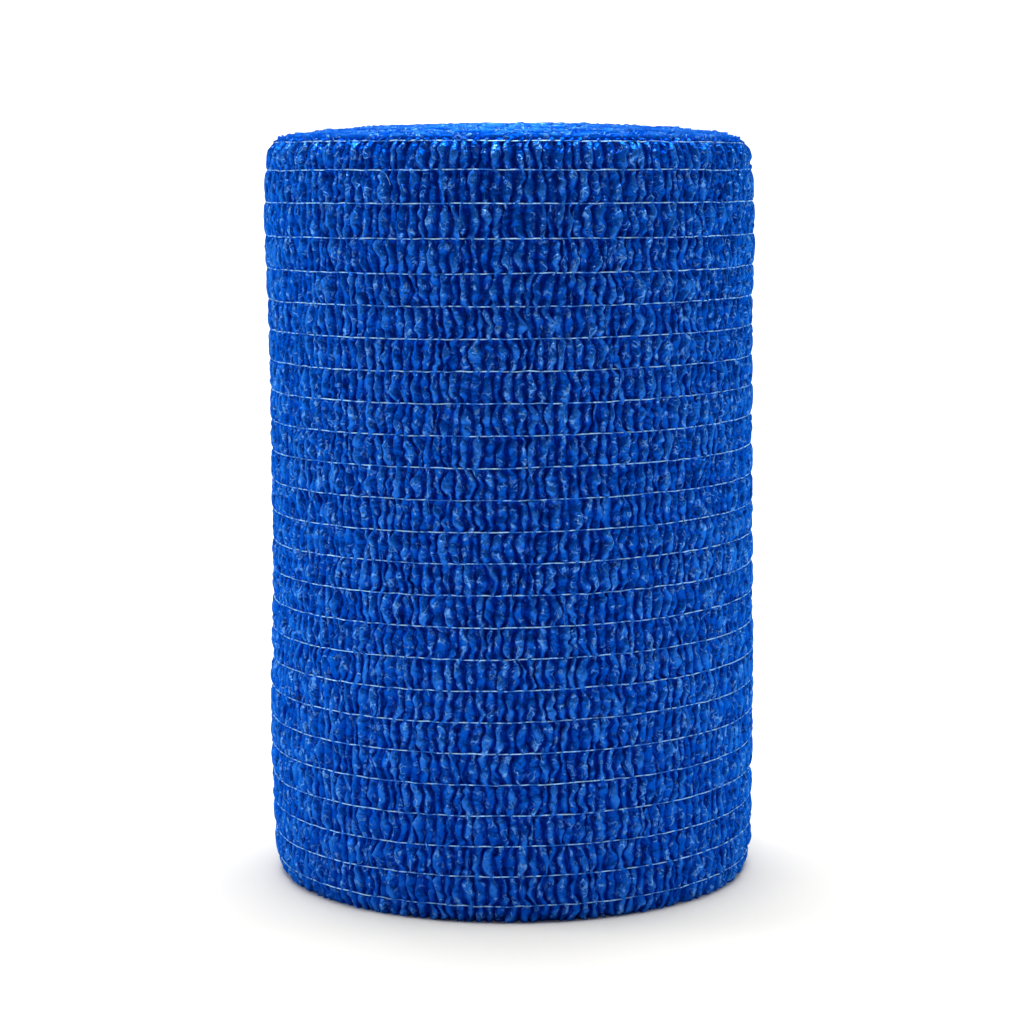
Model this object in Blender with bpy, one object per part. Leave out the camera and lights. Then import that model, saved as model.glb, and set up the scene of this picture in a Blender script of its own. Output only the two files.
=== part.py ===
# A roll of crinkled, self-holding elastic tape, wound without a core and standing on end.
# It is one cloth solid: elastic yarns draw the tape in along shallow grooves and the cloth
# bulges in a band between each two of them. The upper end is slightly domed, where the turns
# have crept up, the lower end is pressed flat, and the tape's outer end laps over the turn below
# it along the back.

import math

import bmesh
import bpy
from mathutils import Vector, noise

# Metres, with Z along the roll's axis and the underside at z = 0. The front faces -Y.
ROLL_RADIUS = 0.02465        # axis to the crown of a band on the outermost turn
TURN_THICKNESS = 0.00042     # what each turn of tape adds to the radius
YARN_COUNT = 25              # elastic yarns across the width of the tape
YARN_PITCH = 0.0030          # yarn to yarn, along the axis
GROOVE_DEPTH = 0.00032       # how far a yarn draws the cloth in below the crowns beside it
BAND_ROWS = 3                # rows of faces across one band
LOWER_MARGIN = 0.00175       # underside to the lowest yarn
DOME_RISE = 0.0021           # highest yarn to the top of the dome

# The bands are not all of one width. Under the upper shoulder the cloth is slack, and the bands
# next to both edges are gathered.
SLACK_GAIN = 0.075           # extra width of the slackest band, as a share of the pitch
SLACK_BAY = 20.7             # where that is, in bands from the bottom
SLACK_REACH = 1.35           # bands on each side of it that share the slack
TOP_BAY_SHARE = 0.89
BOTTOM_BAY_SHARE = 0.97

# The tape was wound a little askew, so the yarns climb towards +X, most below half height.
CLIMB = 0.00027
CLIMB_HEIGHT = 0.36          # height of the greatest climb, as a share of the yarns' span
CLIMB_LOSS = 0.00102         # times the square of the distance from there

# The shoulders, where the outer turns round over into the ends.
FOOT_INSET = 0.0011          # at the underside
FOOT_HEIGHT = 0.0034         # over which the foot rounds in
FOOT_POWER = 2.2             # how much of that happens low down
TOP_INSET = 0.0005           # at the highest yarn
TOP_HEIGHT = 0.0045
TOP_POWER = 2.0
DOME_INSET = 0.0007          # edge of the dome, behind the crowns
DOME_STEP = 0.0004           # that edge above the highest yarn

# A few groups of turns stand prouder than their neighbours and draw a spiral on the dome.
PROUD_GROUPS = 6
PROUD_HEIGHT = 0.00022
PROUD_ROWS = 3               # rows of faces across one group
EDGE_SHARES = [1.0, 0.985, 0.955]
FLAT_SHARE = 0.91            # the spiral fills the dome out to this share of its radius
EYE_RADIUS = 0.0011          # dimple in the middle, where the winding starts
EYE_DEPTH = 0.0004

SIDES = 52                   # faces round the roll
LAP_ANGLE = math.radians(98) # outer end of the tape, from +X: at the back
LAP_WIDTH = math.radians(0.8)
UNEVEN = 0.00012             # lumps of the winding, each way
LUMP_LENGTH = 0.011

CLOTH_COLOUR = (0.004, 0.062, 0.42, 1.0)
CLOTH_ROUGHNESS = 0.55


def clear_scene():
    for thing in list(bpy.data.objects):
        bpy.data.objects.remove(thing, do_unlink=True)


def cloth_material():
    material = bpy.data.materials.new("blue_crinkled_tape")
    material.use_nodes = True
    shader = material.node_tree.nodes["Principled BSDF"]
    shader.inputs["Base Color"].default_value = CLOTH_COLOUR
    shader.inputs["Roughness"].default_value = CLOTH_ROUGHNESS
    shader.inputs["Metallic"].default_value = 0.0
    return material


def yarn_heights():
    # Heights of the yarns from the lowest to the highest, on the roll's axis.
    heights = [LOWER_MARGIN]
    for bay in range(YARN_COUNT - 1):
        slack = SLACK_GAIN * math.exp(-((bay - SLACK_BAY) / SLACK_REACH) ** 2)
        share = 1.0 + slack
        if bay == YARN_COUNT - 2:
            share = TOP_BAY_SHARE
        if bay < 2:
            share = BOTTOM_BAY_SHARE
        heights.append(heights[-1] + YARN_PITCH * share)
    return heights


def shoulder(height, lowest, highest):
    # How far the wall is drawn in near the foot and near the upper shoulder.
    near_foot = max(0.0, 1.0 - (height - lowest) / FOOT_HEIGHT)
    near_top = max(0.0, 1.0 - (highest - height) / TOP_HEIGHT)
    return FOOT_INSET * near_foot ** FOOT_POWER + TOP_INSET * near_top ** TOP_POWER


def wall_rows(yarns):
    # (height, inset) of each ring up the wall. A yarn's own ring lies in its groove.
    span_top = yarns[-1]
    rows = [(0.0, FOOT_INSET)]
    rows.append((LOWER_MARGIN * 0.3, shoulder(LOWER_MARGIN * 0.3, 0.0, span_top)))
    rows.append((LOWER_MARGIN * 0.7, shoulder(LOWER_MARGIN * 0.7, 0.0, span_top)))
    for low, high in zip(yarns, yarns[1:]):
        rows.append((low, shoulder(low, 0.0, span_top) + GROOVE_DEPTH))
        for row in range(1, BAND_ROWS):
            height = low + (high - low) * row / BAND_ROWS
            rows.append((height, shoulder(height, 0.0, span_top)))
    rows.append((span_top, shoulder(span_top, 0.0, span_top) + GROOVE_DEPTH))
    return rows


def climb(height, yarns):
    share = (height - yarns[0]) / (yarns[-1] - yarns[0])
    share = min(max(share, 0.0), 1.0)
    lift = CLIMB - CLIMB_LOSS * (share - CLIMB_HEIGHT) ** 2
    return lift * min(height / LOWER_MARGIN, 1.0)


def ring_angles():
    # One more corner than there are sides: two of them lie close together at the lap.
    step = (2.0 * math.pi - LAP_WIDTH) / SIDES
    return [LAP_ANGLE + LAP_WIDTH + step * side for side in range(SIDES + 1)]


def lapped(radius, angle):
    # The outline is one turn of a spiral, so it ends one layer above where it starts.
    turned = (angle - LAP_ANGLE - LAP_WIDTH) / (2.0 * math.pi - LAP_WIDTH)
    return radius - TURN_THICKNESS * (1.0 - turned)


def lump(angle, height):
    place = Vector((math.cos(angle), math.sin(angle), height / ROLL_RADIUS))
    return UNEVEN * noise.noise(place * ROLL_RADIUS / LUMP_LENGTH)


def wall_ring(height, inset, yarns):
    points = []
    for angle in ring_angles():
        radius = lapped(ROLL_RADIUS - inset, angle)
        if height > 0.0:
            radius += lump(angle, height)
        lift = climb(height, yarns) * math.cos(angle)
        points.append(Vector((radius * math.cos(angle), radius * math.sin(angle), height + lift)))
    return points


def dome_ring(share, edge_radius, top_yarn):
    # A ring of the dome at a share of its radius: half an ellipse, the spiral and the eye.
    edge_height = top_yarn + DOME_STEP
    rise = DOME_RISE - DOME_STEP
    points = []
    for angle in ring_angles():
        radius = lapped(edge_radius, angle) * share
        height = edge_height + rise * math.sqrt(max(0.0, 1.0 - share ** 2))
        turn = (angle - LAP_ANGLE) / (2.0 * math.pi)
        phase = 2.0 * math.pi * (share * PROUD_GROUPS + turn)
        fade = min(1.0, (1.0 - share) * PROUD_GROUPS) * min(1.0, share * PROUD_GROUPS)
        height += PROUD_HEIGHT * fade * 0.5 * (math.cos(phase) - 1.0)
        height -= EYE_DEPTH * math.exp(-(radius / EYE_RADIUS) ** 2)
        points.append(Vector((radius * math.cos(angle), radius * math.sin(angle), height)))
    return points


def dome_shares():
    # Shares of the dome's radius at which its rings lie: close together on its steep edge.
    inner_rows = PROUD_GROUPS * PROUD_ROWS
    inner = [FLAT_SHARE * (1.0 - row / inner_rows) for row in range(inner_rows)]
    return EDGE_SHARES + inner


def grow(mesh, ring, points):
    # Pulls a new ring of faces out of an open rim and lays its corners on the points.
    rim = [mesh.edges.get((a, b)) for a, b in zip(ring, ring[1:] + ring[:1])]
    grown = bmesh.ops.extrude_edge_only(mesh, edges=rim)
    fresh = [item for item in grown["geom"] if isinstance(item, bmesh.types.BMVert)]
    by_place = {tuple(round(v, 7) for v in vert.co): vert for vert in fresh}
    following = [by_place[tuple(round(v, 7) for v in vert.co)] for vert in ring]
    for vert, point in zip(following, points):
        vert.co = point
    return following


def close_end(mesh, ring, height):
    centre = mesh.verts.new((0.0, 0.0, height))
    for a, b in zip(ring, ring[1:] + ring[:1]):
        mesh.faces.new((a, b, centre))


def wound_roll():
    yarns = yarn_heights()
    rows = wall_rows(yarns)
    mesh = bmesh.new()
    ring = [mesh.verts.new(point) for point in wall_ring(*rows[0], yarns)]
    for a, b in zip(ring, ring[1:] + ring[:1]):
        mesh.edges.new((a, b))
    foot = ring
    for height, inset in rows[1:]:
        ring = grow(mesh, ring, wall_ring(height, inset, yarns))

    for share in dome_shares():
        ring = grow(mesh, ring, dome_ring(share, ROLL_RADIUS - DOME_INSET, yarns[-1]))
    close_end(mesh, ring, yarns[-1] + DOME_RISE - EYE_DEPTH)
    close_end(mesh, foot, 0.0)
    bmesh.ops.recalc_face_normals(mesh, faces=mesh.faces)
    return mesh


def centre_on_axis(mesh):
    # The lap makes the outline a little wider on one side.
    for axis in (0, 1):
        lowest = min(vert.co[axis] for vert in mesh.verts)
        highest = max(vert.co[axis] for vert in mesh.verts)
        for vert in mesh.verts:
            vert.co[axis] -= (lowest + highest) / 2.0


def add_roll():
    mesh = wound_roll()
    centre_on_axis(mesh)
    data = bpy.data.meshes.new("roll")
    mesh.to_mesh(data)
    mesh.free()
    data.shade_smooth()
    data.set_sharp_from_angle(angle=math.radians(50))
    data.materials.append(cloth_material())
    roll = bpy.data.objects.new("roll", data)
    bpy.context.scene.collection.objects.link(roll)
    return roll


clear_scene()
add_roll()
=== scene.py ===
import math

import bpy
import numpy as np
from mathutils import Matrix, Vector


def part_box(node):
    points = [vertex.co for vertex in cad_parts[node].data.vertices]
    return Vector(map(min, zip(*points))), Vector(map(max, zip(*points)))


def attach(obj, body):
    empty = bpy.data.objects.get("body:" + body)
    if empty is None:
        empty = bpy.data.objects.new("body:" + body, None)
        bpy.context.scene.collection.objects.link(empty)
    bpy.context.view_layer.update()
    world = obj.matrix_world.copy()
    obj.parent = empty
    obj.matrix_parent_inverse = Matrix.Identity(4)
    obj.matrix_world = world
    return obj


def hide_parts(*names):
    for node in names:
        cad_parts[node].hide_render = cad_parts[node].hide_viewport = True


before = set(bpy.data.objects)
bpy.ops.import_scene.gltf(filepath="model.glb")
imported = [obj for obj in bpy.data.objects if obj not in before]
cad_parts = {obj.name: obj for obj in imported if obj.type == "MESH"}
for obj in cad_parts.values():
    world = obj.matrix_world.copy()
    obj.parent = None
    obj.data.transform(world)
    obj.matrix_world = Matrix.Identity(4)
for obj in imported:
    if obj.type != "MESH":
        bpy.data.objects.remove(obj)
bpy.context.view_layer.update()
rollLow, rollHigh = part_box("roll")
mm = 0.001
lowest = 0.02 * mm       # no cloth lies nearer to the floor

# The tape as it is wound: the same sizes as the solid that these pieces dress.
tape = {
    "layer": 0.42 * mm,            # what one turn adds to the radius
    "yarns": 25,
    "yarnPitch": 3.0 * mm,
    "lowerMargin": 1.75 * mm,      # lower end to the lowest yarn
    "slackGain": 0.075,            # the widest bay, under the upper shoulder, is wider by this share
    "slackBay": 20.7,              # its number from the bottom
    "slackReach": 1.35,            # bays on each side of it that share the slack
    "topBayShare": 0.89,
    "bottomBayShare": 0.97,
    "climb": 0.27 * mm,            # the yarns climb towards +X
    "climbHeight": 0.36,           # share of the yarns' height where they climb most
    "climbLoss": 1.02 * mm,        # times the square of the share from there
    "climbFade": 1.5 * mm,         # the climb dies out this far above the top yarn
    "lapAngle": math.radians(98),  # where the outer end lies, from +X
    "footInset": 0.80 * mm,        # how far the wall is drawn in at the lower end
    "footHeight": 3.4 * mm,        # over which it rounds in
    "topInset": 0.62 * mm,         # and at the top yarn
    "topHeight": 1.3 * mm,
    "roundness": 2.2,              # higher: both shoulders are rounder
    # where the roll is fuller or slimmer: share of the height, reach, amount
    "fuller": ((0.985, 0.028, -0.14 * mm), (0.88, 0.07, 0.22 * mm), (0.22, 0.17, 0.34 * mm)),
    "sway": ((0.95, 0.25, -0.18 * mm), (0.18, 0.12, -0.14 * mm)),   # where the wall strays along X
}
crownRadius = (rollHigh[0] - rollLow[0] + tape["layer"]) / 2
axisPlace = np.array([-tape["layer"] / 4, -tape["layer"] / 4])


def yarnHeights():
    heights = [tape["lowerMargin"]]
    for bay in range(tape["yarns"] - 1):
        share = 1 + tape["slackGain"] * math.exp(-((bay - tape["slackBay"]) / tape["slackReach"]) ** 2)
        if bay == tape["yarns"] - 2:
            share = tape["topBayShare"]
        if bay < 2:
            share = tape["bottomBayShare"]
        heights.append(heights[-1] + tape["yarnPitch"] * share)
    return heights


yarnLine = yarnHeights()
topYarn = yarnLine[-1]


def shoulder(height):  # how far the wall is drawn in near both ends
    nearFoot = np.clip(1 - height / tape["footHeight"], 0, 1)
    nearTop = np.clip(1 - (topYarn - height) / tape["topHeight"], 0, 1)
    return tape["footInset"] * nearFoot ** tape["roundness"] + tape["topInset"] * nearTop ** tape["roundness"]


def climb(height):  # how far the wall's front rises towards +X at this height
    share = np.clip((height - yarnLine[0]) / (topYarn - yarnLine[0]), 0, 1)
    lift = tape["climb"] - tape["climbLoss"] * (share - tape["climbHeight"]) ** 2
    lift = lift * np.clip(height / tape["lowerMargin"], 0, 1)
    return lift * np.clip(1 - (height - topYarn) / tape["climbFade"], 0, 1)


def swells(height, rises):  # the sum of soft rises along the roll
    share = height / topYarn
    return sum(amount * np.exp(-((share - middle) / reach) ** 2) for middle, reach, amount in rises)


def wind(turn, height, inset):  # turn 0 is where the outermost turn starts, 1 is the lap
    angle = tape["lapAngle"] + 2 * math.pi * turn
    radius = crownRadius - tape["layer"] * (1 - turn) - inset + swells(height, tape["fuller"])
    x = axisPlace[0] + radius * np.cos(angle) + swells(height, tape["sway"])
    y = axisPlace[1] + radius * np.sin(angle)
    z = height + climb(height) * np.cos(angle)
    return np.stack([x, y, z], axis=-1)


def smooth(x):
    x = np.clip(x, 0, 1)
    return x * x * (3 - 2 * x)


# Every kind of unevenness has a table of random numbers of its own.
seeds = {
    "wander": 11, "crinkle": 12, "misfit": 13, "uneven": 14,
    "low": 21, "floor": 22, "knob": 23, "lump": 24, "pebble": 25, "lean": 26,
    "cutWave": 31,
    "ripple": 41, "sway": 42, "dip": 43,
    "topWeave": 50, "topWidth": 51, "topRise": 52, "topTurn": 53,
    "footWeave": 60, "footWidth": 61, "footRise": 62, "footTurn": 63,
}
tableSize = 512
noiseTables = {}


def softNoise(x, y, kind):  # smooth lumps from -1 to 1, about one to a unit each way
    if kind not in noiseTables:
        noiseTables[kind] = np.random.default_rng(seeds[kind]).uniform(-1, 1, (tableSize, tableSize))
    table = noiseTables[kind]
    column = np.floor(x).astype(int)
    row = np.floor(y).astype(int)
    across = smooth(x - column)
    up = smooth(y - row)
    left, right = column % tableSize, (column + 1) % tableSize
    low, high = row % tableSize, (row + 1) % tableSize
    lower = table[low, left] * (1 - across) + table[low, right] * across
    upper = table[high, left] * (1 - across) + table[high, right] * across
    return lower * (1 - up) + upper * up


def spanNoise(across, up, span, kind):  # span: the size of one lump, across and up
    return softNoise(across / span[0], up / span[1], kind)


# Cloth of the outermost turn: plump folds run up and down between the yarns, with a crevice on either
# side. A span is in pitches round the roll, then in metres up it.
folds = {
    "pitch": 1.02 * mm,          # fold to fold, round the roll
    "depth": 0.92 * mm,          # crest to crevice in the middle of a bay
    "depthAtYarn": 0.36 * mm,
    "groove": 0.16 * mm,         # the yarns draw the crests in this far
    "pinch": 4.0,                # higher: the cloth swells out again closer to the yarn
    "uneven": 0.12,              # how unlike the gaps between the folds are, in pitches
    "unevenSpan": (1.1, 9 * mm),
    "wander": 0.27,              # sideways wander of a fold, in pitches
    "wanderSpan": (1.5, 1.5 * mm),
    "misfit": 0.50,              # sideways jump of the folds from bay to bay, in pitches
    "misfitSpan": 4.0,
    "misfitBlend": 0.14,         # share of a bay, next to a yarn, where the folds meet the next bay's halfway
    "low": 0.28,                 # how far the lower folds lie behind the others
    "lowMiddle": 0.40,           # higher: more folds are low
    "lowContrast": 1.5,
    "lowHeight": 3.0 * mm,
    "floor": 0.15,               # how much shallower a crevice can be
    "floorContrast": 1.6,
    "floorHeight": 2.2 * mm,
    "crinkle": 0.20,             # short sideways wander, in pitches
    "crinkleSpan": (0.62, 0.50 * mm),
    "plump": 0.45,               # lower: plumper folds, narrower crevices
    "narrowing": 1.6,            # folds are narrower where a yarn draws them in
    "lean": 0.45,                # how far a crest leans over the crevice beside it
    "leanHeight": 1.9 * mm,
    "knob": 0.22,                # knobs up a fold
    "knobHeight": 0.55 * mm,
    "lump": 0.15,
    "lumpSpan": (0.36, 0.85 * mm),
    "lumpInCrevice": 0.25,       # share of the lumps' height that is left in a crevice
    "pebble": 0.08,
    "pebbleSpan": (0.24, 0.60 * mm),
    "overCrest": 0.25,           # share that is left of what rises above the crests, for an even outline
    "deepest": -0.15,
}
foldColumns = (0.0, 0.10, 0.25, 0.42, 0.58, 0.75, 0.90)   # the mesh's columns across one fold


def bulge(share):  # 0 at a yarn, 1 in the middle of a bay
    return 1 - np.abs(2 * share - 1) ** folds["pinch"]


def foldDrift(line, height, bay, share):  # how far each point of the folds strays sideways, in pitches
    drift = folds["wander"] * spanNoise(line, height, folds["wanderSpan"], "wander")
    drift += folds["crinkle"] * spanNoise(line, height, folds["crinkleSpan"], "crinkle")
    place = line / folds["misfitSpan"]
    here, above, below = [softNoise(place, (bay + step) * 7.31 + 0.5, "misfit") for step in (0, 1, -1)]
    nearTop = 0.5 * np.clip(1 - (1 - share) / folds["misfitBlend"], 0, 1) ** 2
    nearFoot = 0.5 * np.clip(1 - share / folds["misfitBlend"], 0, 1) ** 2
    drift += folds["misfit"] * (here + (above - here) * nearTop + (below - here) * nearFoot)
    across, up = folds["unevenSpan"]
    return drift + folds["uneven"] * softNoise(line / across, bay * 3.17 + height / up, "uneven")


def foldShape(line, height, bay, swell):  # level from 0 in a crevice to 1 on a crest, and the crest's lean
    fold = np.floor(line + 0.0001)
    offset = line - fold
    crevice = np.floor(line + 0.5)
    # the number and the bay of a fold or crevice take it to a place of its own in the noise
    sunk = softNoise(fold * 1.73 + 0.4, height / folds["lowHeight"] + bay * 5.37, "low")
    tall = 1 - folds["low"] * np.clip(folds["lowMiddle"] + folds["lowContrast"] * sunk, 0, 1)
    tall += folds["knob"] * softNoise(fold * 1.31 + 0.3, height / folds["knobHeight"] + bay * 2.71, "knob")
    shallow = softNoise(crevice * 1.37 + 0.2, height / folds["floorHeight"] + bay * 2.3, "floor")
    floor = folds["floor"] * np.clip(shallow * folds["floorContrast"], 0, 1)
    roundness = (1 - np.abs(2 * offset - 1) ** 2) ** (folds["plump"] + folds["narrowing"] * (1 - swell))
    level = floor + (tall - floor) * roundness
    lumpShare = folds["lumpInCrevice"] + (1 - folds["lumpInCrevice"]) * np.clip(level, 0, 1)
    level += folds["lump"] * spanNoise(line, height, folds["lumpSpan"], "lump") * lumpShare
    level += folds["pebble"] * spanNoise(line, height, folds["pebbleSpan"], "pebble")
    lean = softNoise(fold * 1.57 + 0.7, height / folds["leanHeight"] + bay * 3.9, "lean")
    level = np.minimum(level, 1 + folds["overCrest"] * (level - 1))
    return np.maximum(level, folds["deepest"]), lean


# One grid of quads for each length of wall, wound round the roll. Its columns follow the folds.
outerTurn = {
    "sections": 4,
    "rowsPerBay": 13,
    "marginRows": 9,
    "overlap": 0.0075,           # how far the cut end runs on over the start, in turns
    "calmFolds": 3,              # the sideways drift dies out over these at both ends, for a straight cut
    "cutWave": 0.35 * mm,        # the cut isn't quite straight
    "cutWaveHeight": 2.4 * mm,
    "cutWavePart": 20,           # only the last twentieth of the turn waves with it
    "dropColumns": 2.5,          # over these the cut edge drops on to the turn below
    "dropLayers": 1.6,           # by this many layers
    "dropDepth": 0.5,            # and this share of the folds' depth
    "crown": 0.99,               # the level that lies on the wall
    "shadeOverTopYarn": 0.25,            # painted shade: how much darker the cloth above the top yarn is
    # rows tucked in under the lower end: height and inset in mm, and bulge
    "footRows": ((0.45, 2.1, 0.3), (0.08, 1.5, 0.3), (0.03, 1.05, 0.3)),
    # rows from the top yarn in over the dome: rise and inset in mm, and bulge
    "topRows": ((0.10, 0.70, 0.25), (0.22, 0.84, 0.4), (0.34, 1.08, 0.4), (0.44, 1.4, 0.4), (0.2, 1.7, 0.3)),
}


def rowTable():
    # height, inset, bulge, bay and share up the bay for each row, from the lower end to the dome
    rows = []
    for height, inset, swell in outerTurn["footRows"]:
        rows.append((height * mm, inset * mm, swell, -1, 0.02))
    margin = outerTurn["marginRows"]
    for step in range(margin):
        up = (step / margin) ** 1.2
        height = tape["lowerMargin"] * up
        rows.append((height + 0.04 * mm, float(shoulder(height)), 1 - up ** 5, -1, up))
    count = outerTurn["rowsPerBay"]
    for bay in range(tape["yarns"] - 1):
        for step in range(count):
            share = 0.5 * step / count + 0.25 * (1 - math.cos(math.pi * step / count))
            height = yarnLine[bay] + (yarnLine[bay + 1] - yarnLine[bay]) * share
            rows.append((height, float(shoulder(height)), float(bulge(share)), bay, share))
    last = tape["yarns"] - 1
    rows.append((topYarn, tape["topInset"], 0.0, last, 0.0))
    for rise, inset, swell in outerTurn["topRows"]:
        rows.append((topYarn + rise * mm, (inset - 0.1 * (1 - swell)) * mm, swell, last, 0.1 + rise * 0.2))
    return np.array(rows)


def addGrid(name, columns, rows):
    bpy.ops.object.select_all(action="DESELECT")
    bpy.ops.mesh.primitive_grid_add(x_subdivisions=columns, y_subdivisions=rows, size=2)
    piece = bpy.context.active_object
    piece.name = name
    piece.data.name = name
    flat = np.empty(len(piece.data.vertices) * 3)
    piece.data.vertices.foreach_get("co", flat)
    flat = flat.reshape(-1, 3)
    across = (flat[:, 0] + 1) / 2
    up = (flat[:, 1] + 1) / 2
    return piece, across, up


def shapeGrid(piece, places, fold):
    piece.data.vertices.foreach_set("co", places.astype(np.float32).ravel())
    depth = piece.data.attributes.new("fold", "FLOAT", "POINT")
    depth.data.foreach_set("value", fold.astype(np.float32).ravel())
    piece.data.update()


def finishPiece(piece, material):
    bpy.ops.object.select_all(action="DESELECT")
    piece.select_set(True)
    bpy.context.view_layer.objects.active = piece
    bpy.ops.object.mode_set(mode="EDIT")
    bpy.ops.mesh.select_all(action="SELECT")
    bpy.ops.mesh.normals_make_consistent(inside=False)
    bpy.ops.object.mode_set(mode="OBJECT")
    bpy.ops.object.shade_smooth()
    piece.data.materials.clear()
    piece.data.materials.append(material)
    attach(piece, "root")
    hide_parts("roll")
    print("made", piece.name, len(piece.data.polygons), "faces")


def addOuterTurn(material):
    table = rowTable()
    perSection = (tape["yarns"] - 1) // outerTurn["sections"]
    firstBayRow = int(np.argmax(table[:, 3] == 0))
    starts = [firstBayRow + outerTurn["rowsPerBay"] * perSection * s for s in range(outerTurn["sections"])]
    starts[0] = 0
    ends = starts[1:] + [len(table) - 1]
    turnLength = 2 * math.pi * crownRadius
    wound = turnLength * (1 + outerTurn["overlap"])
    foldCount = int(wound / folds["pitch"])
    perFold = len(foldColumns)
    columns = foldCount * perFold
    for number, (start, end) in enumerate(zip(starts, ends)):
        piece, across, up = addGrid(f"outer_turn_{number + 1}", columns, end - start)
        row = np.rint(up * (end - start)).astype(int) + start
        column = np.rint(across * columns).astype(int)
        height, inset, swell, bay, share = table[row].T
        line = column // perFold + np.array(foldColumns)[column % perFold]
        level, lean = foldShape(line, height, bay, swell)
        atEnds = smooth(np.minimum(line, foldCount - line) / outerTurn["calmFolds"])
        along = line / foldCount * wound + folds["pitch"] * atEnds * foldDrift(line, height, bay, share)
        wave = softNoise(height / outerTurn["cutWaveHeight"], height * 0 + 0.5, "cutWave")
        nearCut = smooth(line / foldCount * outerTurn["cutWavePart"] - (outerTurn["cutWavePart"] - 1))
        along += outerTurn["cutWave"] * wave * nearCut
        depth = folds["depthAtYarn"] + (folds["depth"] - folds["depthAtYarn"]) * swell
        tuck = folds["groove"] * (1 - swell) + depth * (outerTurn["crown"] - level)
        sideways = folds["lean"] * lean * depth * np.clip(level, 0, 1) ** 1.5
        # the start of the turn lies under the cut edge
        fall = tape["layer"] * outerTurn["dropLayers"] + depth * outerTurn["dropDepth"]
        drop = np.clip(1 - (columns - column) / outerTurn["dropColumns"], 0, 1) ** 1.5 * fall
        places = wind((along + sideways * atEnds) / turnLength, height, inset + tuck + drop)
        places[:, 2] = np.maximum(places[:, 2], lowest)
        # the level also picks the film's tint: painted shade in the crevices and above the top yarn
        shapeGrid(piece, places, level - outerTurn["shadeOverTopYarn"] * (height > topYarn))
        finishPiece(piece, material)


# The elastic yarns: each runs once round in its groove, over the crevices and under the crests.
yarns = {
    "radius": 0.058 * mm,
    "points": 460,
    "sink": 0.085 * mm,          # middle of the yarn below the crests at its groove
    "wave": 0.05 * mm,           # how far a yarn strays from its line
    # length of one stray, and the step in the noise from yarn to yarn: short and long ones up and down,
    # then in and out
    "ripple": (1.1 * mm, 3.3),
    "sway": (9 * mm, 2.3),
    "dip": (1.5 * mm, 4.1),
    "tints": ((0.42, (0.03, 0.18, 0.65)), (0.48, (0.24, 0.56, 1.0)), (0.60, (0.46, 0.78, 1.0))),
    "tintScale": 1300.0,
    "sheen": (0.5, 0.8, 1.0),
    "metallic": 0.75,
    "roughness": 0.4,
    "strayRadius": 0.6,          # of a loose fibre, as a share of the yarns'
    # loose fibres: place round the turn, yarn, then steps round and up with the lift off the cloth, in mm
    "strays": (
        (0.394, 23,
         ((0.0, 0.0, 0.0), (0.7, -0.1, 0.22), (1.2, -0.45, 0.25), (1.5, -0.9, 0.22), (1.6, -1.4, 0.1))),
        (0.356, 24, ((0.0, 0.0, 0.0), (0.05, 0.25, 0.2), (0.0, 0.55, 0.3))),
        (0.742, 15, ((0.0, 0.0, 0.0), (-0.3, 0.5, 0.2), (-0.9, 0.8, 0.25), (-1.3, 0.5, 0.1))),
    ),
}


def yarnStray(along, number, kind):
    length, step = yarns[kind]
    return yarns["wave"] * softNoise(along / length, along * 0 + number * step, kind)


def addStrand(curve, places):
    spline = curve.splines.new("POLY")
    spline.points.add(len(places) - 1)
    corners = np.hstack([places, np.ones((len(places), 1))])
    spline.points.foreach_set("co", corners.astype(np.float32).ravel())
    return spline


def addYarns(material):
    curve = bpy.data.curves.new("yarns", "CURVE")
    curve.dimensions = "3D"
    curve.bevel_depth = yarns["radius"]
    curve.bevel_resolution = 0
    curve.use_fill_caps = True
    turn = np.linspace(0.004, 1 + outerTurn["overlap"], yarns["points"])
    along = turn * 2 * math.pi * crownRadius
    for number, height in enumerate(yarnLine):
        ripple, sway, dip = [yarnStray(along, number, kind) for kind in ("ripple", "sway", "dip")]
        inset = float(shoulder(height)) + folds["groove"] + yarns["sink"] + dip * 0.5
        addStrand(curve, wind(turn, np.full_like(turn, height) + ripple + sway, inset))
    for start, yarn, path in yarns["strays"]:
        along, rise, lift = np.array(path).T * mm
        inset = float(shoulder(yarnLine[yarn])) + folds["groove"] - lift
        turn = start + along / (2 * math.pi * crownRadius)
        fibre = addStrand(curve, wind(turn, yarnLine[yarn] + rise, inset))
        fibre.points.foreach_set("radius", [yarns["strayRadius"]] * len(path))
    piece = bpy.data.objects.new("yarns", curve)
    bpy.context.collection.objects.link(piece)
    bpy.ops.object.select_all(action="DESELECT")
    piece.select_set(True)
    bpy.context.view_layer.objects.active = piece
    bpy.ops.object.convert(target="MESH")
    finishPiece(bpy.context.active_object, material)


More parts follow.
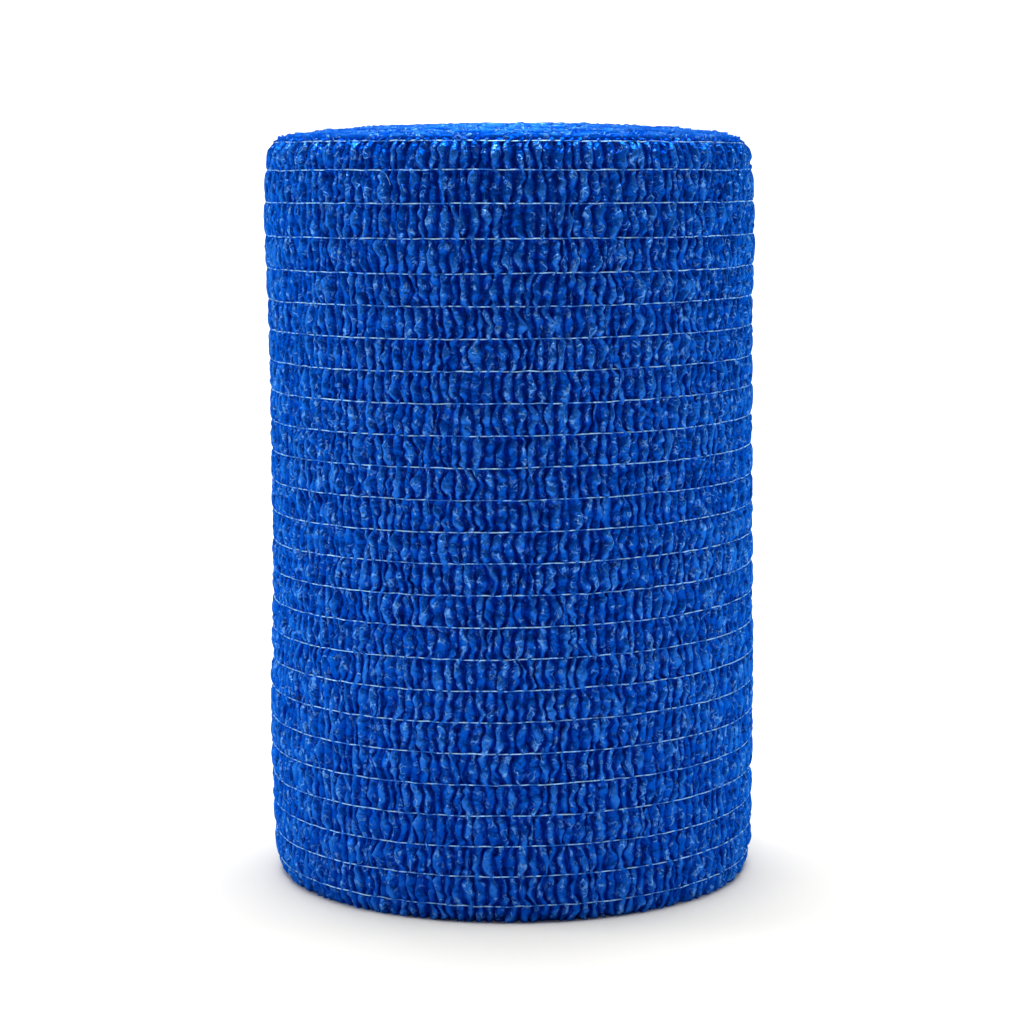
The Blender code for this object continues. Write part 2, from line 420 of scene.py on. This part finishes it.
# The ends: the free edge of every turn, wound in one spiral from the eye out to the last turn.
turnEdges = {
    "eye": 0.8 * mm,
    "inset": 1.35 * mm,          # outermost edge behind the crowns of the wall
    "footInset": 2.0 * mm,
    "step": 0.26 * mm,           # along the winding
    "footStep": 0.75 * mm,
    "depth": 0.7 * mm,           # how far down an edge is modelled
    "halfWidth": 0.42,           # of an edge, in layers
    "widthChange": 0.12,
    "weave": 0.13 * mm,          # a crinkled edge wanders this far each way
    "rise": 0.15 * mm,           # and lies this much higher or lower
    "turnRise": 0.09 * mm,       # how much one turn lies above or below the next
    # the spans of these, along the winding and from turn to turn
    "weaveSpan": (0.62 * mm, 90 * mm),
    "widthSpan": (0.8 * mm, 70 * mm),
    "riseSpan": (1.0 * mm, 80 * mm),
    # on the film's scale of tints: an edge's top, less down its sides as painted shade, more on a bump as a
    # painted highlight
    "topTint": 0.82,
    "sideShade": 0.45,
    "bumpHighlight": 0.50,
    "footGap": 0.03 * mm,        # between the lowest edges and the floor
    "footRise": 0.16 * mm,
    "domeInset": 0.85 * mm,
    "domeStep": 0.10 * mm,
    "domeRise": 1.95 * mm,
    "domeRound": 0.44,
    "proudGroups": 6,            # groups of turns that stand proud
    "proudHeight": 0.14 * mm,
    "behind": 0.45 * mm,         # the cloth seen between the edges lies this far below them
    "eyeDepth": 3.0 * mm,
    "behindGrid": (120, 24),
}


def domeHeight(radius, turn):
    share = np.clip(radius / (crownRadius - turnEdges["domeInset"]), 0, 1)
    rise = turnEdges["domeRise"] - turnEdges["domeStep"]
    height = topYarn + turnEdges["domeStep"] + rise * (1 - share ** 2) ** turnEdges["domeRound"]
    phase = 2 * math.pi * (share * turnEdges["proudGroups"] + turn)
    fade = np.clip((1 - share) * turnEdges["proudGroups"], 0, 1)
    return height + turnEdges["proudHeight"] * fade * 0.5 * (np.cos(phase) - 1)


def closeSeams():
    bpy.ops.object.mode_set(mode="EDIT")
    bpy.ops.mesh.select_all(action="SELECT")
    bpy.ops.mesh.remove_doubles(threshold=0.001 * mm)
    bpy.ops.object.mode_set(mode="OBJECT")


def addTurnEdges(name, material, step, upward):
    outer = crownRadius - (turnEdges["inset"] if upward else turnEdges["footInset"])
    inner = turnEdges["eye"]
    length = math.pi * (outer ** 2 - inner ** 2) / tape["layer"]
    count = int(length / step)
    piece, around, up = addGrid(name, 4, count)
    corner = np.rint(around * 4).astype(int)
    walked = up * length
    wound = (np.sqrt(inner ** 2 + tape["layer"] * walked / math.pi) - inner) / tape["layer"]
    radius = inner + tape["layer"] * wound
    turn = 1 - (outer - radius) / tape["layer"]
    end = "top" if upward else "foot"
    drift = turnEdges["weave"] * spanNoise(walked, walked, turnEdges["weaveSpan"], end + "Weave")
    widthNoise = spanNoise(walked, walked, turnEdges["widthSpan"], end + "Width")
    halfWidth = tape["layer"] * (turnEdges["halfWidth"] + turnEdges["widthChange"] * widthNoise)
    bump = turnEdges["rise"] * spanNoise(walked, walked, turnEdges["riseSpan"], end + "Rise")
    level = turnEdges["turnRise"] * softNoise(np.floor(turn) * 1.7 + 0.5, turn * 0.9, end + "Turn")
    # an edge's section, closed at the fifth column: where each corner lies across it, and which are sunk
    side = np.array([-1.0, -0.55, 0.55, 1.0, -1.0])[corner]
    sunk = np.array([1.0, 0.0, 0.0, 1.0, 1.0])[corner]
    inset = crownRadius - tape["layer"] * (1 - turn) - radius - drift - side * halfWidth
    if upward:
        height = domeHeight(radius, turn) + bump + level - sunk * turnEdges["depth"]
    else:
        lifted = (turnEdges["footRise"] + bump + level * 0.5).clip(0, 1) * 0.6
        height = turnEdges["footGap"] + lifted + sunk * turnEdges["depth"]
    places = wind(turn, height, inset)
    if not upward:
        places[:, 2] = np.maximum(height, lowest)
    # painted shade down an edge's sides and a painted highlight on its bumps, through the film's tints
    tint = turnEdges["topTint"] - turnEdges["sideShade"] * sunk
    shapeGrid(piece, places, tint + turnEdges["bumpHighlight"] * bump / turnEdges["rise"] * (1 - sunk))
    closeSeams()
    finishPiece(piece, material)


def addBetweenTurns(name, material, upward):  # closes the eye and the gaps between the turns, in the film's darkest tint as painted shade
    piece, around, out = addGrid(name, *turnEdges["behindGrid"])
    radius = out * (crownRadius - (turnEdges["inset"] if upward else turnEdges["footInset"]))
    depth = turnEdges["behind"] + turnEdges["eyeDepth"] * np.clip(1 - radius / turnEdges["eye"], 0, 1)
    height = domeHeight(radius, around) - depth if upward else turnEdges["footGap"] + depth
    places = wind(around, height, crownRadius - tape["layer"] * (1 - around) - radius)
    pole = out < 0.001
    places[pole] = places[pole].mean(axis=0)
    # fold level 0 everywhere: the film's darkest tint, painted shade down between the turns
    shapeGrid(piece, places, radius * 0)
    closeSeams()
    finishPiece(piece, material)


def newNode(tree, kind, x, y, **inputs):
    node = tree.nodes.new(kind)
    node.location = (x, y)
    for socket, value in inputs.items():
        node.inputs[socket.replace("_", " ")].default_value = value
    return node


def noiseNode(tree, x, y, scale, **inputs):  # scale: lumps to a metre
    return newNode(tree, "ShaderNodeTexNoise", x, y, Scale=scale, **inputs)


def rangeNode(tree, x, y, fromRange, toRange):
    node = newNode(tree, "ShaderNodeMapRange", x, y)
    node.inputs["From Min"].default_value, node.inputs["From Max"].default_value = fromRange
    node.inputs["To Min"].default_value, node.inputs["To Max"].default_value = toRange
    return node


def rampNode(tree, x, y, stops):  # stops: place along the ramp, and the grey or colour there
    node = newNode(tree, "ShaderNodeValToRGB", x, y)
    elements = node.color_ramp.elements
    while len(elements) < len(stops):
        elements.new(0.5)
    for element, (position, value) in zip(elements, stops):
        element.position = position
        element.color = (*value, 1) if isinstance(value, tuple) else (value, value, value, 1)
    return node


def mixNode(tree, x, y, colour):  # A to this colour
    node = newNode(tree, "ShaderNodeMix", x, y)
    node.data_type = "RGBA"
    node.inputs["B"].default_value = (*colour, 1)
    return node


def mathNode(tree, operation, x, y, *values):
    node = newNode(tree, "ShaderNodeMath", x, y)
    node.operation = operation
    for number, value in enumerate(values):
        if isinstance(value, (int, float)):
            node.inputs[number].default_value = value
        else:
            tree.links.new(value, node.inputs[number])
    return node.outputs["Value"]


# The film: cohesive coated cloth. Its sheen takes the blue of the cloth, so it is shaded partly as a metal.
film = {
    # tints along the fold level: painted shade that darkens the film from a crest down into a crevice
    "tints": ((0.0, (0.0006, 0.023, 0.34)), (0.5, (0.0011, 0.056, 0.46)),
              (0.8, (0.0025, 0.087, 0.57)), (1.0, (0.018, 0.155, 0.69))),
    "paintedGlint": (0.14, 0.41, 1.0),   # painted glint on a crease's edge, and the painted shade beside it
    "creaseShade": (0.0002, 0.012, 0.16),
    "creaseShadeStrength": 0.4,
    "creaseScale": 1000.0,
    "patchScale": 1200.0,
    "patch": (0.48, 0.58),       # creases show where the patches pass this
    "grainScale": 1900.0,
    "onCrest": (0.15, 1.0),      # how much of a crease shows in a crevice and on a crest
    "creaseRelief": 0.2,
    "relief": 0.25 * mm,
    "creaseRoughness": 0.5,      # the painted glints have this share of the cloth's roughness
    "sheen": (0.1, 0.55, 1.0),
    # where on the crease noise the painted glint and the painted shade beside it lie
    "glintEdge": ((0.465, 0.0), (0.525, 1.0), (0.585, 0.0)),
    "shadeEdge": ((0.41, 0.0), (0.45, 1.0), (0.48, 0.0)),
}


def creasedFilm():  # group: the film tinted by fold level with painted shade in its crevices, and its creases: thin painted glints with painted shade beside them
    group = bpy.data.node_groups.new("creasedFilm", "ShaderNodeTree")
    for name, value in (("Fold", 0.5), ("Scale", 1.0)):
        socket = group.interface.new_socket(name, in_out="INPUT", socket_type="NodeSocketFloat")
        socket.default_value = value
    group.interface.new_socket("Color", in_out="OUTPUT", socket_type="NodeSocketColor")
    for name in ("Relief", "Gloss"):
        group.interface.new_socket(name, in_out="OUTPUT", socket_type="NodeSocketFloat")
    link = group.links.new
    given = newNode(group, "NodeGroupInput", -2100, 0)
    made = newNode(group, "NodeGroupOutput", 300, 0)
    place = newNode(group, "ShaderNodeTexCoord", -2100, -300)
    scaled = newNode(group, "ShaderNodeVectorMath", -1800, -300)
    scaled.operation = "SCALE"
    link(place.outputs["Object"], scaled.inputs["Vector"])
    link(given.outputs["Scale"], scaled.inputs["Scale"])
    # the film's tint by fold level, with painted shade in the crevices
    tint = rampNode(group, -900, 650, film["tints"])
    link(given.outputs["Fold"], tint.inputs["Fac"])
    crease = noiseNode(group, -1500, 100, film["creaseScale"], Detail=1.5, Distortion=1.0)
    patch = noiseNode(group, -1500, -150, film["patchScale"], Detail=1.0)
    grain = noiseNode(group, -1500, -400, film["grainScale"], Detail=2.0, Roughness=0.55)
    for texture in (crease, patch, grain):
        link(scaled.outputs["Vector"], texture.inputs["Vector"])
    inPatch = rangeNode(group, -1200, -150, film["patch"], (0.0, 1.0))
    link(patch.outputs["Fac"], inPatch.inputs["Value"])
    glintEdge = rampNode(group, -1200, 250, film["glintEdge"])
    shadeEdge = rampNode(group, -1200, 50, film["shadeEdge"])
    link(crease.outputs["Fac"], glintEdge.inputs["Fac"])
    link(crease.outputs["Fac"], shadeEdge.inputs["Fac"])
    onCrest = rangeNode(group, -1200, 450, (0.25, 0.85), film["onCrest"])
    link(given.outputs["Fold"], onCrest.inputs["Value"])
    amount = mathNode(group, "MULTIPLY", -900, 0, inPatch.outputs["Result"], onCrest.outputs["Result"])
    # painted glints along the creases, with painted shade beside them, stronger on the crests
    paintedGlint = mathNode(group, "MULTIPLY", -700, 250, glintEdge.outputs["Color"], amount)
    creaseShade = mathNode(group, "MULTIPLY", -700, 50, shadeEdge.outputs["Color"], amount)
    lighter = mixNode(group, -500, 400, film["paintedGlint"])
    link(paintedGlint, lighter.inputs["Factor"])
    link(tint.outputs["Color"], lighter.inputs["A"])
    darker = mixNode(group, -300, 400, film["creaseShade"])
    link(mathNode(group, "MULTIPLY", -500, 50, creaseShade, film["creaseShadeStrength"]), darker.inputs["Factor"])
    link(lighter.outputs["Result"], darker.inputs["A"])
    ridge = mathNode(group, "SUBTRACT", -500, -100, paintedGlint, creaseShade)
    relief = mathNode(group, "MULTIPLY_ADD", -300, -200, ridge, film["creaseRelief"], grain.outputs["Fac"])
    link(darker.outputs["Result"], made.inputs["Color"])
    link(relief, made.inputs["Relief"])
    link(paintedGlint, made.inputs["Gloss"])
    return group


# The two cloths: the outer turn's face, and the cut edges of the turns, which are duller.
cloths = {
    "tapeCloth": {"scale": 1.0, "metallic": 0.65, "roughness": 0.25},
    "tapeEdges": {"scale": 0.8, "metallic": 0.3, "roughness": 0.40},
}


def clothMaterial(name, group):
    cloth = cloths[name]
    material = bpy.data.materials.new(name)
    material.use_nodes = True
    tree = material.node_tree
    link = tree.links.new
    shader = tree.nodes["Principled BSDF"]
    shader.inputs["Metallic"].default_value = cloth["metallic"]
    shader.inputs["Specular IOR Level"].default_value = 0.0
    shader.inputs["Specular Tint"].default_value = (*film["sheen"], 1)
    fold = newNode(tree, "ShaderNodeAttribute", -900, 0)
    fold.attribute_name = "fold"
    surface = newNode(tree, "ShaderNodeGroup", -700, 0)
    surface.node_tree = group
    surface.inputs["Scale"].default_value = cloth["scale"]
    link(fold.outputs["Fac"], surface.inputs["Fold"])
    link(surface.outputs["Color"], shader.inputs["Base Color"])
    bump = newNode(tree, "ShaderNodeBump", -300, -200, Strength=1.0, Distance=film["relief"])
    link(surface.outputs["Relief"], bump.inputs["Height"])
    link(bump.outputs["Normal"], shader.inputs["Normal"])
    roughness = (cloth["roughness"], cloth["roughness"] * film["creaseRoughness"])
    gloss = rangeNode(tree, -300, 0, (0.0, 1.0), roughness)
    link(surface.outputs["Gloss"], gloss.inputs["Value"])
    link(gloss.outputs["Result"], shader.inputs["Roughness"])
    return material


def yarnMaterial():
    material = bpy.data.materials.new("elasticYarn")
    material.use_nodes = True
    tree = material.node_tree
    shader = tree.nodes["Principled BSDF"]
    place = newNode(tree, "ShaderNodeTexCoord", -900, 0)
    wear = noiseNode(tree, -700, 0, yarns["tintScale"], Detail=1.0)
    tree.links.new(place.outputs["Object"], wear.inputs["Vector"])
    tint = rampNode(tree, -500, 0, yarns["tints"])
    tree.links.new(wear.outputs["Fac"], tint.inputs["Fac"])
    tree.links.new(tint.outputs["Color"], shader.inputs["Base Color"])
    shader.inputs["Roughness"].default_value = yarns["roughness"]
    shader.inputs["Metallic"].default_value = yarns["metallic"]
    shader.inputs["Specular Tint"].default_value = (*yarns["sheen"], 1)
    return material


# Camera: a long lens from a little below the top of the roll.
camera = {
    "lens": 94.5,                # this and the sensor's width in mm
    "sensor": 36.0,
    "clip": (0.01, 20.0),
    "distance": 11.045,          # in radii, from the roll's axis
    "eye": 2.866,                # in radii, above the floor
    "side": 0.0028,
    "pitch": 7.172,              # degrees down
    "roll": -0.256,
}


def addCamera():
    data = bpy.data.cameras.new("camera")
    data.lens = camera["lens"]
    data.sensor_width = camera["sensor"]
    data.clip_start, data.clip_end = camera["clip"]
    eye = bpy.data.objects.new("camera", data)
    bpy.context.collection.objects.link(eye)
    sideways = axisPlace[0] + camera["side"] * crownRadius
    back = axisPlace[1] - camera["distance"] * crownRadius
    eye.location = (sideways, back, camera["eye"] * crownRadius)
    tilt = Matrix.Rotation(math.radians(90 - camera["pitch"]), 4, "X")
    eye.rotation_euler = (tilt @ Matrix.Rotation(math.radians(camera["roll"]), 4, "Z")).to_euler()
    bpy.context.scene.camera = eye
    print("placed the camera")


# Stage: a pale sweep, floor and backdrop in one. The floor bends up between "bend" and "back".
stage = {
    "width": 3.0,
    "front": -1.2,
    "bend": 0.5,
    "back": 0.9,
    "height": 1.6,
    "steps": 12,
    "colour": (0.765, 0.755, 0.715),
    "roughness": 0.9,
}


def floorMaterial():
    material = bpy.data.materials.new("paleFloor")
    material.use_nodes = True
    shader = material.node_tree.nodes["Principled BSDF"]
    shader.inputs["Base Color"].default_value = (*stage["colour"], 1)
    shader.inputs["Roughness"].default_value = stage["roughness"]
    return material


def addStage(material):
    profile = [(stage["front"], 0.0), (stage["bend"], 0.0)]
    radius = stage["back"] - stage["bend"]
    for step in range(1, stage["steps"] + 1):
        angle = math.pi / 2 * step / stage["steps"]
        profile.append((stage["bend"] + radius * math.sin(angle), radius * (1 - math.cos(angle))))
    profile.append((stage["back"], stage["height"]))
    piece, across, up = addGrid("sweep", 1, len(profile) - 1)
    row = np.rint(up * (len(profile) - 1)).astype(int)
    line = np.array(profile)[row]
    places = np.stack([(across - 0.5) * stage["width"], line[:, 0], line[:, 1]], axis=-1)
    piece.data.vertices.foreach_set("co", places.astype(np.float32).ravel())
    bpy.ops.object.shade_smooth()
    piece.data.materials.append(material)
    print("made the sweep")


# Lights: place, the point they aim at, and size in metres, and power in watts. The small one in front
# gives the glints.
lights = {
    "left": {"place": (-0.55, 0.05, 0.25), "aim": (0, 0, 0.04), "size": (0.20, 0.7), "power": 1.55},
    "right": {"place": (0.55, 0.05, 0.25), "aim": (0, 0, 0.04), "size": (0.20, 0.7), "power": 0.85},
    "top": {"place": (0.0, 0.05, 0.65), "aim": (0, 0, 0.04), "size": (0.5, 0.5), "power": 7.15},
    "backdrop": {"place": (0.0, 0.25, 0.55), "aim": (0, 0.9, 0.2), "size": (1.2, 0.3), "power": 7.3},
    "front": {"place": (-0.12, -0.9, 0.70), "aim": (0, 0, 0.04), "size": (0.10, 0.10), "power": 0.6},
}
surroundings = 0.085             # strength of the white all round


def addLights():
    for name, facts in lights.items():
        data = bpy.data.lights.new(name, "AREA")
        data.shape = "RECTANGLE"
        data.size, data.size_y = facts["size"]
        data.energy = facts["power"]
        lamp = bpy.data.objects.new(name, data)
        bpy.context.collection.objects.link(lamp)
        lamp.location = facts["place"]
        aim = Vector(facts["aim"]) - Vector(facts["place"])
        lamp.rotation_euler = aim.to_track_quat("-Z", "Y").to_euler()
    world = bpy.data.worlds.new("studio")
    bpy.context.scene.world = world
    world.use_nodes = True
    world.node_tree.nodes["Background"].inputs["Color"].default_value = (1, 1, 1, 1)
    world.node_tree.nodes["Background"].inputs["Strength"].default_value = surroundings
    bpy.context.scene.view_settings.view_transform = "Standard"
    print("placed", len(lights), "lights")


filmGroup = creasedFilm()
addOuterTurn(clothMaterial("tapeCloth", filmGroup))
addYarns(yarnMaterial())
edges = clothMaterial("tapeEdges", filmGroup)
addTurnEdges("turn_edges_top", edges, turnEdges["step"], True)
addTurnEdges("turn_edges_foot", edges, turnEdges["footStep"], False)
addBetweenTurns("between_turns_top", edges, True)
addBetweenTurns("between_turns_foot", edges, False)
addStage(floorMaterial())
addCamera()
addLights()
